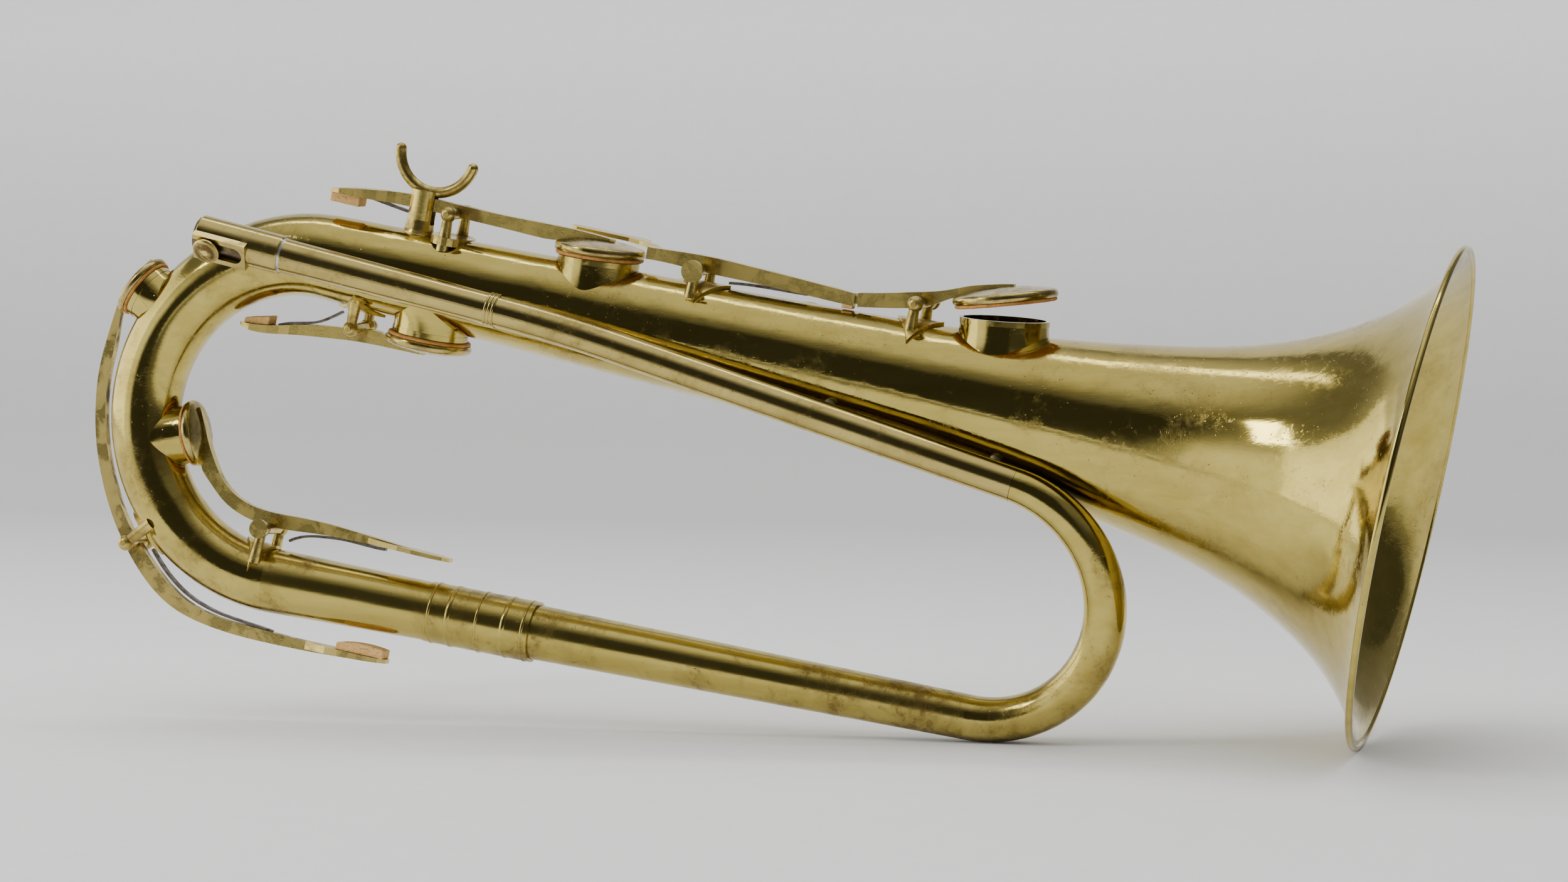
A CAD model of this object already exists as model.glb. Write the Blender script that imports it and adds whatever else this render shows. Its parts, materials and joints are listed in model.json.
import bpy
import json
import math
import numpy
from mathutils import Matrix, Vector, noise


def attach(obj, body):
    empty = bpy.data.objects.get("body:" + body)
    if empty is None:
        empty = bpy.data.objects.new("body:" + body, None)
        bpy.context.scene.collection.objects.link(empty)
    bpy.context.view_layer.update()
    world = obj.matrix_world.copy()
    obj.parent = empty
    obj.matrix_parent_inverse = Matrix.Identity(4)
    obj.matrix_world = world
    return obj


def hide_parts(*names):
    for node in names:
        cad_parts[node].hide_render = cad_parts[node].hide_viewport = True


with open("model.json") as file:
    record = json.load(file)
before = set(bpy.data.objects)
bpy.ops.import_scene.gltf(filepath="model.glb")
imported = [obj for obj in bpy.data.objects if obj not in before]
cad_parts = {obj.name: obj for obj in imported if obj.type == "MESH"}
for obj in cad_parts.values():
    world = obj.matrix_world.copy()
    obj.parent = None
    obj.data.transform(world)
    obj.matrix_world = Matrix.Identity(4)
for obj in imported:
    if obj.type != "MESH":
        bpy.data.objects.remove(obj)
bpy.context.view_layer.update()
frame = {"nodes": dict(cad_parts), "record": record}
NODES = frame["nodes"]
SLOTS = {part["node"]: part["material_slot"] for part in frame["record"]["subparts"]}
BODY_OF = {node: body for body, nodes in frame["record"]["behaviour"]["bodies"].items()
           for node in nodes}
MM = 0.001

# The part's own design frame: X along the bell axis towards the mouth, mouth plane at X = 0.
REST_TILT = math.radians(11.82)
REST_SHIFT = Vector((202.169, 0.0, 75.1127)) * MM
REST = Matrix.Translation(REST_SHIFT) @ Matrix.Rotation(REST_TILT, 4, "Y")


# ------------------------------------------------------------------------ node shorthand
class Maker:
    """Builds a node material step by step."""

    def __init__(self, name):
        self.material = bpy.data.materials.new(name)
        self.material.use_nodes = True
        self.tree = self.material.node_tree
        self.shader = self.tree.nodes["Principled BSDF"]
        self.place = self.add("ShaderNodeTexCoord").outputs["Object"]

    def add(self, kind, **settings):
        made = self.tree.nodes.new(kind)
        for key, value in settings.items():
            setattr(made, key, value)
        return made

    def link(self, source, target):
        self.tree.links.new(source, target)

    def feed(self, socket, value):
        if isinstance(value, bpy.types.NodeSocket):
            self.link(value, socket)
        else:
            socket.default_value = value

    def mapped(self, scale, turn=(0, 0, 0)):
        mapping = self.add("ShaderNodeMapping")
        self.link(self.place, mapping.inputs["Vector"])
        mapping.inputs["Scale"].default_value = scale
        mapping.inputs["Rotation"].default_value = turn
        return mapping.outputs["Vector"]

    def noise(self, scale, detail=5.0, rough=0.6, twist=0.0, vector=None):
        made = self.add("ShaderNodeTexNoise")
        self.link(vector or self.place, made.inputs["Vector"])
        made.inputs["Scale"].default_value = scale
        made.inputs["Detail"].default_value = detail
        made.inputs["Roughness"].default_value = rough
        made.inputs["Distortion"].default_value = twist
        return made.outputs["Fac"]

    def spots(self, scale, low, high):
        """1 at the middle of scattered round spots, 0 away from them."""
        made = self.add("ShaderNodeTexVoronoi")
        self.link(self.place, made.inputs["Vector"])
        made.inputs["Scale"].default_value = scale
        return self.ramp(made.outputs["Distance"], ((low, 1.0), (high, 0.0)))

    def ramp(self, source, stops):
        made = self.add("ShaderNodeValToRGB")
        self.link(source, made.inputs["Fac"])
        elements = made.color_ramp.elements
        while len(elements) < len(stops):
            elements.new(0.5)
        for element, (position, value) in zip(elements, stops):
            element.position = position
            colour = (value,) * 3 if isinstance(value, float) else value
            element.color = (*colour, 1.0)
        return made.outputs["Color"]

    def math(self, operation, first, second):
        made = self.add("ShaderNodeMath", operation=operation)
        self.feed(made.inputs[0], first)
        self.feed(made.inputs[1], second)
        return made.outputs[0]

    def mix(self, factor, first, second, blend="MIX"):
        made = self.add("ShaderNodeMix", data_type="RGBA", blend_type=blend)
        self.feed(made.inputs[0], factor)
        for socket, value in ((made.inputs[6], first), (made.inputs[7], second)):
            self.feed(socket, (*value, 1.0) if isinstance(value, tuple) else value)
        return made.outputs[2]

    def bump(self, layers, distance):
        """Bumps stacked one over the other, from (height, strength) pairs."""
        normal = None
        for height, strength in layers:
            made = self.add("ShaderNodeBump")
            made.inputs["Strength"].default_value = strength
            made.inputs["Distance"].default_value = distance
            self.link(height, made.inputs["Height"])
            if normal is not None:
                self.link(normal, made.inputs["Normal"])
            normal = made.outputs["Normal"]
        self.link(normal, self.shader.inputs["Normal"])

    def edges(self, low, high):
        """1 on outer edges that hands have rubbed bright, 0 on flats."""
        geometry = self.add("ShaderNodeNewGeometry")
        return self.ramp(geometry.outputs["Pointiness"], ((low, 0.0), (high, 1.0)))

    def crevices(self, reach, low, high):
        """1 in corners and slots where dirt gathers, 0 in the open."""
        shade = self.add("ShaderNodeAmbientOcclusion", samples=4)
        shade.inputs["Distance"].default_value = reach
        return self.ramp(shade.outputs["AO"], ((low, 1.0), (high, 0.0)))

    def finish(self, colour, roughness, metallic=1.0):
        self.feed(self.shader.inputs["Base Color"], colour)
        self.feed(self.shader.inputs["Roughness"], roughness)
        self.shader.inputs["Metallic"].default_value = metallic
        return self.material


PIT_BLACK = (0.06, 0.042, 0.02)
TUBE_DIRT = (0.075, 0.05, 0.022)
KEY_DIRT = (0.07, 0.045, 0.02)


def aged_brass(name, bright, dark, stain, amount, shine, turn=REST_TILT, stretch=9.0):
    """Old brass: long drawn streaks, cloudy tarnish, dark pits, dents and fine scratches."""
    make = Maker(name)
    along = make.mapped((1.0 / stretch, 1.0, 1.0), (0, turn, 0))
    streaks = make.noise(170.0, 6.0, 0.62, 0.3, along)
    clouds = make.noise(30.0, 7.0, 0.68, 0.8)
    mottles = make.noise(260.0, 7.0, 0.72, 0.6)
    fine = make.noise(1100.0, 3.0, 0.6, 0.0, along)
    dents = make.noise(34.0, 1.0, 0.4, 0.4)
    cloud_mask = make.ramp(clouds, ((0.46, 0.0), (0.72, 1.0)))
    speck_field = make.math("ADD", make.math("MULTIPLY", clouds, 0.5),
                            make.math("MULTIPLY", mottles, 0.5))
    mottle_mask = make.ramp(speck_field, ((0.53, 0.0), (0.64, 1.0)))
    streak_mask = make.ramp(streaks, ((0.35, 0.0), (0.75, 1.0)))
    pits = make.spots(620.0, 0.06, 0.16)
    pit_mask = make.math("MULTIPLY", pits, make.ramp(speck_field, ((0.5, 0.0), (0.57, 1.0))))
    colour = make.mix(streak_mask, bright, dark)
    tarnish = make.math("MULTIPLY", cloud_mask, amount)
    colour = make.mix(tarnish, colour, stain)
    speckle = make.math("MULTIPLY", mottle_mask, amount * 1.1)
    colour = make.mix(speckle, colour, stain)
    colour = make.mix(make.math("MULTIPLY", pit_mask, 0.8), colour, PIT_BLACK)
    dirt = make.math("MULTIPLY", make.crevices(0.004, 0.12, 0.52), 0.75)
    colour = make.mix(dirt, colour, TUBE_DIRT)
    rough = make.math("ADD", make.math("MULTIPLY", tarnish, 0.2), shine)
    rough = make.math("ADD", rough, make.math("MULTIPLY", mottle_mask, 0.14))
    rough = make.math("ADD", rough, make.math("MULTIPLY", dirt, 0.35))
    make.bump(((dents, 0.55), (streaks, 0.035), (fine, 0.03), (pit_mask, 0.15),
               (mottle_mask, 0.05)), 0.0005)
    return make.finish(colour, rough)


def rubbed_brass(name, bright, dark, stain, amount, shine):
    """Key brass: mottled flats with rims and edges rubbed bright."""
    make = Maker(name)
    clouds = make.noise(110.0, 6.0, 0.65, 0.6)
    mottles = make.noise(430.0, 6.0, 0.72, 0.5)
    fine = make.noise(1500.0, 3.0, 0.6)
    tarnish = make.math("MULTIPLY", make.ramp(clouds, ((0.46, 0.0), (0.57, 1.0))), amount)
    speckle = make.math("MULTIPLY", make.ramp(mottles, ((0.5, 0.0), (0.6, 1.0))), amount * 0.8)
    colour = make.mix(clouds, bright, dark)
    colour = make.mix(tarnish, colour, stain)
    colour = make.mix(speckle, colour, stain)
    colour = make.mix(make.math("MULTIPLY", make.edges(0.505, 0.55), 0.85), colour, bright)
    dirt = make.math("MULTIPLY", make.crevices(0.0025, 0.15, 0.55), 0.75)
    colour = make.mix(dirt, colour, KEY_DIRT)
    rough = make.math("ADD", make.math("MULTIPLY", tarnish, 0.22), shine)
    rough = make.math("ADD", rough, make.math("MULTIPLY", dirt, 0.3))
    make.bump(((clouds, 0.14), (mottles, 0.12), (fine, 0.05)), 0.0003)
    return make.finish(colour, rough)


def leather(name):
    make = Maker(name)
    cells = make.add("ShaderNodeTexVoronoi", feature="DISTANCE_TO_EDGE")
    make.link(make.place, cells.inputs["Vector"])
    cells.inputs["Scale"].default_value = 1700.0
    grain = make.ramp(cells.outputs["Distance"], ((0.0, 0.0), (0.12, 1.0)))
    soil = make.noise(260.0, 6.0, 0.7, 0.6)
    colour = make.mix(make.ramp(soil, ((0.38, 0.0), (0.66, 1.0))), (0.72, 0.33, 0.06),
                      (0.38, 0.16, 0.03))
    colour = make.mix(0.25, colour, grain, "MULTIPLY")
    make.bump(((grain, 0.2), (soil, 0.4)), 0.0002)
    return make.finish(colour, make.ramp(soil, ((0.3, 0.55), (0.7, 0.8))), 0.0)


def cork(name, light, dark):
    make = Maker(name)
    grains = make.add("ShaderNodeTexVoronoi")
    make.link(make.place, grains.inputs["Vector"])
    grains.inputs["Scale"].default_value = 1100.0
    lenticels = make.noise(700.0, 4.0, 0.7, 1.2, make.mapped((1.0, 1.0, 3.0)))
    mask = make.ramp(lenticels, ((0.55, 0.0), (0.66, 1.0)))
    colour = make.mix(make.ramp(grains.outputs["Distance"], ((0.1, 0.0), (0.7, 0.6))), light,
                      dark)
    colour = make.mix(make.math("MULTIPLY", mask, 0.8), colour, (0.16, 0.09, 0.05))
    make.bump(((grains.outputs["Distance"], 0.25), (lenticels, 0.5)), 0.0002)
    return make.finish(colour, make.ramp(lenticels, ((0.4, 0.8), (0.7, 0.95))), 0.0)


def steel(name):
    make = Maker(name)
    rust = make.noise(420.0, 6.0, 0.7, 0.5)
    mask = make.ramp(rust, ((0.45, 0.0), (0.65, 1.0)))
    colour = make.mix(mask, (0.20, 0.18, 0.15), (0.09, 0.05, 0.03))
    make.bump(((rust, 0.25),), 0.0002)
    return make.finish(colour, make.ramp(rust, ((0.4, 0.35), (0.7, 0.7))), 0.9)


def solder(name):
    make = Maker(name)
    clouds = make.noise(600.0, 5.0, 0.65, 0.5)
    mask = make.ramp(clouds, ((0.4, 0.0), (0.65, 1.0)))
    colour = make.mix(mask, (0.66, 0.66, 0.60), (0.34, 0.32, 0.26))
    make.bump(((clouds, 0.3),), 0.0003)
    return make.finish(colour, make.ramp(clouds, ((0.35, 0.3), (0.7, 0.5))), 1.0)


BRIGHT = (0.56, 0.45, 0.125)
DEEP = (0.45, 0.35, 0.08)
STAIN = (0.17, 0.11, 0.03)
MATERIALS = {
    "body": aged_brass("body_brass", BRIGHT, DEEP, STAIN, 0.22, 0.085),
    "bow": aged_brass("bow_brass", BRIGHT, DEEP, STAIN, 0.5, 0.10, stretch=2.0),
    "lower": aged_brass("lower_brass", BRIGHT, DEEP, STAIN, 0.8, 0.17,
                        REST_TILT - math.radians(2.5)),
    "lead": aged_brass("lead_brass", (0.55, 0.44, 0.15), (0.44, 0.34, 0.10), STAIN, 0.5, 0.14,
                       REST_TILT + math.radians(6.0)),
    "shank": aged_brass("shank_brass", (0.20, 0.15, 0.08), (0.15, 0.11, 0.06),
                        (0.07, 0.05, 0.03), 0.7, 0.3),
    "key": rubbed_brass("key_brass", (0.66, 0.52, 0.15), (0.50, 0.38, 0.10),
                        (0.18, 0.115, 0.035), 0.6, 0.24),
    "cup": rubbed_brass("cup_brass", (0.58, 0.46, 0.15), (0.42, 0.32, 0.10),
                        (0.22, 0.16, 0.07), 0.6, 0.17),
    "old_key": rubbed_brass("old_key_brass", (0.72, 0.57, 0.18), (0.46, 0.34, 0.10),
                            (0.085, 0.05, 0.02), 1.0, 0.24),
    "leather": leather("pad_leather"),
    "cork": cork("key_cork", (0.95, 0.60, 0.22), (0.80, 0.46, 0.14)),
    "steel": steel("spring_steel"),
    "solder": solder("silver_solder"),
}

FINISH = {"main_bow": "bow", "small_bow": "bow", "lower_tube_rear": "lower",
          "lower_tube_front": "lower", "lower_ferrule": "lower", "lead_pipe": "lead",
          "receiver_pipe": "lead", "leadpipe_collar": "lead", "tuning_sleeve": "lead",
          "tuning_shank": "shank", "clamp_screw": "old_key", "key_4_lever": "old_key",
          "hinge_screws": "key", "hand_crook": "key", "crook_post": "key"}


def finish_of(name):
    if name in FINISH:
        return FINISH[name]
    if SLOTS[name] in ("leather", "cork", "steel", "solder"):
        return SLOTS[name]
    if name.endswith("_cup"):
        return "cup"
    if name.startswith("key_"):
        return "key"
    return "body"


BEVEL_SEGMENTS = 3
BEVEL_ANGLE = math.radians(38)
# width in mm of the worn edges, by the ending of the node's name
SOFT_EDGES = {"_lever": 0.35, "_cup": 0.25, "_saddle": 0.15, "_post": 0.2, "_ferrule": 0.1,
              "_sleeve": 0.25, "_screws": 0.3, "_screw": 0.3}
for name, item in NODES.items():
    item.data.materials.clear()
    item.data.materials.append(MATERIALS[finish_of(name)])
    for ending, width in SOFT_EDGES.items():
        if name.endswith(ending):
            bevel = item.modifiers.new("soft_edge", "BEVEL")
            bevel.width = width * MM
            bevel.segments = BEVEL_SEGMENTS
            bevel.limit_method = "ANGLE"
            bevel.angle_limit = BEVEL_ANGLE
            bevel.use_clamp_overlap = True


# ------------------------------------------------------------------------ pads and corks
def corners(name):
    """The vertices of a CAD node as an array."""
    mesh = NODES[name].data
    flat = numpy.empty(len(mesh.vertices) * 3)
    mesh.vertices.foreach_get("co", flat)
    return flat.reshape(-1, 3)


def stand_in(name, mesh):
    """Put a new mesh in place of a soft CAD node, on the same body and slot."""
    for face in mesh.polygons:
        face.use_smooth = True
    piece = bpy.data.objects.new(name + "_soft", mesh)
    bpy.context.scene.collection.objects.link(piece)
    mesh.materials.clear()
    mesh.materials.append(MATERIALS[finish_of(name)])
    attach(piece, BODY_OF[name])
    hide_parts(name)
    return piece


# Share of the radius and share of the thickness from the sealing face, centre outwards:
# a dished face with the ring the chimney has pressed in, then a rounded, stuffed rim.
PAD_SIDE = ((0.12, 0.03), (0.45, 0.015), (0.76, 0.0), (0.85, 0.045), (0.90, 0.055), (0.95, 0.0),
            (0.995, 0.02), (1.025, 0.09), (1.035, 0.2), (1.03, 0.3), (1.005, 0.39), (0.965, 0.44),
            (0.95, 0.98), (0.4, 0.98))
PAD_SPOKES = 120
PAD_FLOOR = 0.035  # share of the thickness at the middle of the sealing face
PAD_TOP = 0.98
LEATHER_UNEVEN = 0.06 * MM


def pad(name):
    """A leather-covered pad: puckered round its rim, pressed by its chimney."""
    points = corners(name)
    centre = points.mean(axis=0)
    spread = numpy.linalg.eigh(numpy.cov((points - centre).T))[1]
    up = Vector(spread[:, 0])
    cup = Vector(corners(name.replace("_pad", "_cup")).mean(axis=0))
    if up.dot(cup - Vector(centre)) < 0:
        up = -up
    heights = (points - centre) @ numpy.array(up)
    floor = Vector(centre) + up * heights.min()
    thick = heights.max() - heights.min()
    flat = (points - centre) - numpy.outer(heights, numpy.array(up))
    radius = numpy.linalg.norm(flat, axis=1).max()
    side = up.orthogonal().normalized()
    front = up.cross(side)
    verts = [floor + up * thick * PAD_FLOOR]
    for share, height in PAD_SIDE:
        for spoke in range(PAD_SPOKES):
            angle = 2 * math.pi * spoke / PAD_SPOKES
            out = side * math.cos(angle) + front * math.sin(angle)
            pucker = noise.noise(out * 11.0 + Vector((height * 2, radius * 900, 0)))
            grip = max(0.0, share - 0.9) * 10
            reach = radius * share * (0.992 - 0.006 * grip * (1 + pucker))
            lift = thick * height + LEATHER_UNEVEN * (1 + noise.noise(out * reach * 700))
            verts.append(floor + out * reach + up * lift)
    verts.append(floor + up * thick * PAD_TOP)
    faces = [(0, 1 + (spoke + 1) % PAD_SPOKES, 1 + spoke) for spoke in range(PAD_SPOKES)]
    rings = len(PAD_SIDE)
    for ring in range(rings - 1):
        for spoke in range(PAD_SPOKES):
            near = 1 + ring * PAD_SPOKES
            far = near + PAD_SPOKES
            after = (spoke + 1) % PAD_SPOKES
            faces.append((near + spoke, near + after, far + after, far + spoke))
    last = 1 + (rings - 1) * PAD_SPOKES
    for spoke in range(PAD_SPOKES):
        faces.append((last + spoke, last + (spoke + 1) % PAD_SPOKES, len(verts) - 1))
    mesh = bpy.data.meshes.new(name + "_leather")
    mesh.from_pydata([tuple(vert) for vert in verts], [], faces)
    piece = stand_in(name, mesh)


CORK_GRAIN = 0.22 * MM
CORK_ROUGH = 0.04 * MM
CORK_CRUMB = 0.22 * MM
CORK_FILED = 0.02 * MM


def cut_cork(name):
    """A block of cork filed by hand: rounded corners and a crumbly face."""
    blank = bpy.data.objects.new(name + "_blank", NODES[name].data.copy())
    bpy.context.scene.collection.objects.link(blank)
    remesh = blank.modifiers.new("grains", "REMESH")
    remesh.mode = "VOXEL"
    remesh.voxel_size = CORK_GRAIN
    soften = blank.modifiers.new("filed", "SMOOTH")
    soften.factor = 0.5
    soften.iterations = 5
    graph = bpy.context.evaluated_depsgraph_get()
    mesh = bpy.data.meshes.new_from_object(blank.evaluated_get(graph))
    bpy.data.objects.remove(blank)
    normals = [vert.normal.copy() for vert in mesh.vertices]
    for vert, normal in zip(mesh.vertices, normals):
        coarse = noise.fractal(vert.co * 900, 0.8, 2.0, 3)
        crumb = min(0.0, noise.noise(vert.co * 1700) + 0.25)
        vert.co += normal * (coarse * CORK_ROUGH + crumb * CORK_CRUMB - CORK_FILED)
    stand_in(name, mesh)


for name in NODES:
    if SLOTS[name] == "leather":
        pad(name)
    elif SLOTS[name] == "cork":
        cut_cork(name)

# ------------------------------------------------------------------------ stage
FLOOR_HALF = 2.6
SWEEP_AT = 1.1
SWEEP_RADIUS = 0.9
WALL_TOP = 2.4
SWEEP_STEPS = 12
PAPER_SHADE = 0.42


def backdrop():
    """A pale studio sweep: a floor that curves up into a wall behind the horn."""
    line = [(-FLOOR_HALF, 0.0), (SWEEP_AT, 0.0)]
    for step in range(1, SWEEP_STEPS + 1):
        angle = math.pi / 2 * step / SWEEP_STEPS
        line.append((SWEEP_AT + SWEEP_RADIUS * math.sin(angle),
                     SWEEP_RADIUS * (1 - math.cos(angle))))
    line.append((SWEEP_AT + SWEEP_RADIUS, WALL_TOP))
    mesh = bpy.data.meshes.new("studio_sweep")
    points = [(side * FLOOR_HALF, y, z) for y, z in line for side in (-1, 1)]
    faces = [(2 * i, 2 * i + 1, 2 * i + 3, 2 * i + 2) for i in range(len(line) - 1)]
    mesh.from_pydata(points, [], faces)
    for face in mesh.polygons:
        face.use_smooth = True
    sweep = bpy.data.objects.new("studio_sweep", mesh)
    bpy.context.scene.collection.objects.link(sweep)
    make = Maker("studio_paper")  # darker in a band behind the horn and out of view around it
    grain = make.noise(90.0, 4.0, 0.6)
    paper = make.ramp(grain, ((0.3, (0.80, 0.80, 0.797)), (0.7, (0.825, 0.825, 0.82))))
    split = make.add("ShaderNodeSeparateXYZ")
    make.link(make.place, split.inputs[0])
    behind = make.ramp(split.outputs["Y"], ((0.12, 0.0), (0.62, 1.0)))
    leftward = make.math("MULTIPLY", split.outputs["X"], -1.0)
    forward = make.math("MULTIPLY", split.outputs["Y"], -1.0)
    before = make.ramp(forward, ((0.45, 0.0), (0.8, 0.85)))
    before = make.math("MULTIPLY", before, make.ramp(leftward, ((0.3, 1.0), (0.7, 0.0))))
    beside = make.ramp(split.outputs["X"], ((0.45, 0.0), (0.9, 0.75)))
    unseen = make.math("MAXIMUM", before, beside)
    climb = make.ramp(split.outputs["Z"], ((0.0, 1.0), (0.24, 0.0)))
    shade = make.math("MULTIPLY", make.math("MULTIPLY", behind, climb), PAPER_SHADE)
    colour = make.mix(make.math("MAXIMUM", shade, unseen), paper, (0.0, 0.0, 0.0))
    make.finish(colour, 0.85, 0.0)
    side = make.add("ShaderNodeNewGeometry").outputs["Backfacing"]
    clear = make.add("ShaderNodeBsdfTransparent")
    either = make.add("ShaderNodeMixShader")
    make.link(side, either.inputs[0])
    make.link(make.shader.outputs[0], either.inputs[1])
    make.link(clear.outputs[0], either.inputs[2])
    make.link(either.outputs[0], make.tree.nodes["Material Output"].inputs["Surface"])
    mesh.materials.append(make.material)


TENT_TOP = 2.5
TENT_HIGH = 0.56
TENT_LEFT = 3.4
TENT_RIGHT = 0.2
TENT_GAP = 0.11
TENT_SEEN = 0.5
MIRRORED = 0.42  # share of the tent that polished metal returns


def area_light(name, at, look_at, size, power):
    data = bpy.data.lights.new(name, "AREA")
    data.shape = "RECTANGLE"
    data.size, data.size_y = size
    data.energy = power
    light = bpy.data.objects.new(name, data)
    light.visible_camera = False
    aim = (Vector(look_at) - Vector(at)).to_track_quat("-Z", "Y")
    light.matrix_world = Matrix.Translation(at) @ aim.to_matrix().to_4x4()
    bpy.context.scene.collection.objects.link(light)


def ranged(tree, value, low, high):
    """0 at low and 1 at high, smooth between."""
    made = tree.nodes.new("ShaderNodeMapRange")
    made.interpolation_type = "SMOOTHSTEP"
    tree.links.new(value, made.inputs["Value"])
    made.inputs["From Min"].default_value = low
    made.inputs["From Max"].default_value = high
    return made.outputs["Result"]


def blended(tree, factor, first, second):
    made = tree.nodes.new("ShaderNodeMix")
    made.data_type = "FLOAT"
    for socket, value in zip(made.inputs[0:1] + made.inputs[2:4], (factor, first, second)):
        if isinstance(value, bpy.types.NodeSocket):
            tree.links.new(value, socket)
        else:
            socket.default_value = value
    return made.outputs[0]


def light_tent():
    """Soft white cloth all round and above, with a dim opening on the side that faces -Y."""
    world = bpy.data.worlds.new("studio")
    bpy.context.scene.world = world
    world.use_nodes = True
    tree = world.node_tree
    aim = tree.nodes.new("ShaderNodeTexCoord").outputs["Generated"]
    split = tree.nodes.new("ShaderNodeSeparateXYZ")
    tree.links.new(aim, split.inputs[0])
    x, y, z = (split.outputs[axis] for axis in "XYZ")
    sides = blended(tree, ranged(tree, x, -0.85, 0.15), TENT_LEFT, TENT_RIGHT)
    upper = blended(tree, ranged(tree, z, 0.2, 0.6), sides, TENT_HIGH)
    cloth = blended(tree, ranged(tree, z, 0.72, 0.97), upper, TENT_TOP)
    gap = ranged(tree, z, 0.74, 0.58)
    for side in (ranged(tree, y, -0.1, -0.3), ranged(tree, x, 0.55, 0.38),
                 ranged(tree, x, -0.62, -0.45)):
        gap = blended(tree, side, 0.0, gap)
    tent = blended(tree, gap, cloth, TENT_GAP)
    path = tree.nodes.new("ShaderNodeLightPath")
    dimmed = tree.nodes.new("ShaderNodeMath")
    dimmed.operation = "MULTIPLY"
    tree.links.new(tent, dimmed.inputs[0])
    dimmed.inputs[1].default_value = MIRRORED
    tent = blended(tree, path.outputs["Is Glossy Ray"], tent, dimmed.outputs[0])
    level = blended(tree, path.outputs["Is Camera Ray"], tent, TENT_SEEN)
    tree.links.new(level, tree.nodes["Background"].inputs["Strength"])
    tree.nodes["Background"].inputs["Color"].default_value = (1.0, 1.0, 1.0, 1.0)


backdrop()
light_tent()
MIDDLE = (0.0, 0.0, 0.09)
area_light("left_window", (-0.95, -0.75, 1.05), MIDDLE, (0.26, 0.45), 4.0)
area_light("left_cloth", (-1.6, -0.1, 0.55), (0.0, -0.1, 0.25), (1.9, 1.0), 6.5)
area_light("wall_wash", (0.0, 0.5, 1.9), (0.0, 1.9, 0.7), (2.4, 0.5), 15.0)

# ------------------------------------------------------------------------ camera
SENSOR = 36.0
LENS = 97.92
CAMERA_AT = Vector((124.86, -1262.73, 150.92)) * MM
CAMERA_RIGHT = Vector((0.94610, 0.26399, 0.18764))
CAMERA_UP = Vector((-0.21568, 0.08132, 0.97307))
camera_data = bpy.data.cameras.new("camera")
camera_data.lens = LENS
camera_data.sensor_width = SENSOR
camera_data.clip_start = 0.05
camera = bpy.data.objects.new("camera", camera_data)
bpy.context.scene.collection.objects.link(camera)
bpy.context.scene.camera = camera
aim = Matrix((CAMERA_RIGHT, CAMERA_UP, CAMERA_RIGHT.cross(CAMERA_UP))).transposed()
camera.matrix_world = REST @ Matrix.Translation(CAMERA_AT) @ aim.to_4x4()
